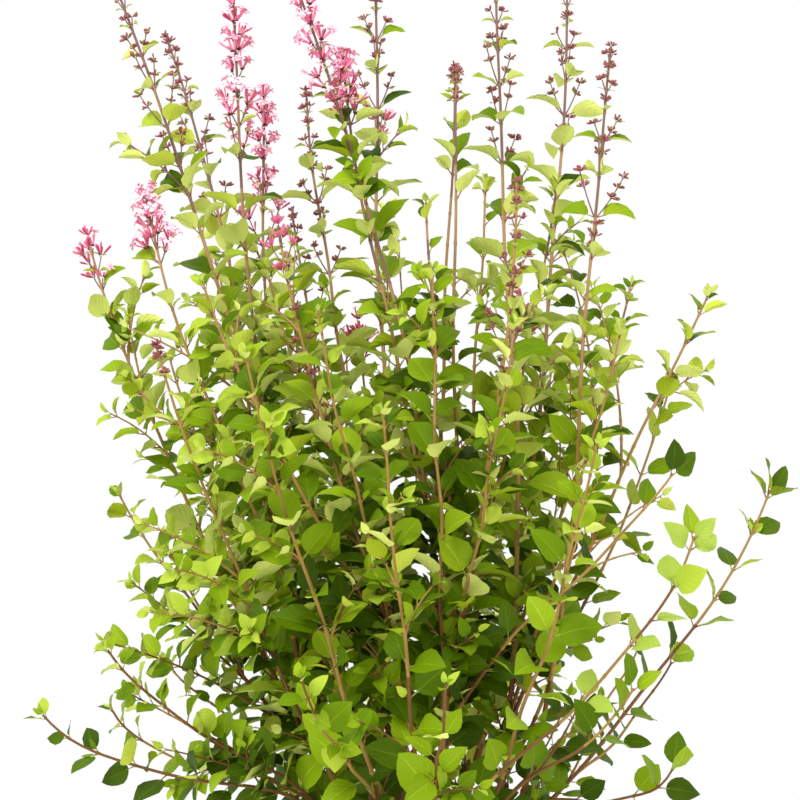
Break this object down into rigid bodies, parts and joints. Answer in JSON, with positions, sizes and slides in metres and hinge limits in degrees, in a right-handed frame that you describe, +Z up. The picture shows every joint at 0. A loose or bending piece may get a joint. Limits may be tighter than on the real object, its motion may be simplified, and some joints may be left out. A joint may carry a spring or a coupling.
{
  "type": "lilac bush",
  "caption": "Young flowering lilac shrub: a flared root crown cut flat at the ground, slender stems fanning out of it, and airy leafy shoots ending in flower panicles.",
  "frame": {"origin": "middle of the flat cut under the root crown, at ground level", "axes": "+Z up, +X to the right and -Y to the front of the shrub"},
  "size_m": [0.7555, 0.673, 1.035],
  "materials": {
    "bark": "matt reddish-brown young bark with pale pores",
    "foliage": "satin green leaf, paler below",
    "blossom": "matt pink petals"
  },
  "bodies": {
    "root": {"root_crown": "bark", "stem_inner_01": "bark", "stem_inner_02": "bark", "stem_inner_03": "bark", "stem_inner_04": "bark", "stem_middle_01": "bark", "stem_middle_02": "bark", "stem_middle_03": "bark", "stem_middle_04": "bark", "stem_middle_05": "bark", "stem_middle_06": "bark", "stem_middle_07": "bark", "stem_middle_08": "bark", "stem_outer_01": "bark", "stem_outer_02": "bark", "stem_outer_03": "bark", "stem_outer_04": "bark", "stem_outer_05": "bark", "stem_outer_06": "bark", "stem_outer_07": "bark", "stem_outer_08": "bark", "stem_outer_09": "bark", "stem_outer_10": "bark", "stem_outer_11": "bark", "stem_outer_12": "bark", "foliage_inner_01": "foliage", "foliage_inner_02": "foliage", "foliage_inner_03": "foliage", "foliage_inner_04": "foliage", "foliage_middle_01": "foliage", "foliage_middle_02": "foliage", "foliage_middle_03": "foliage", "foliage_middle_04": "foliage", "foliage_middle_05": "foliage", "foliage_middle_06": "foliage", "foliage_middle_07": "foliage", "foliage_middle_08": "foliage", "foliage_outer_01": "foliage", "foliage_outer_02": "foliage", "foliage_outer_03": "foliage", "foliage_outer_04": "foliage", "foliage_outer_05": "foliage", "foliage_outer_06": "foliage", "foliage_outer_07": "foliage", "foliage_outer_08": "foliage", "foliage_outer_09": "foliage", "foliage_outer_10": "foliage", "foliage_outer_11": "foliage", "foliage_outer_12": "foliage"}
  },
  "joints": []
}
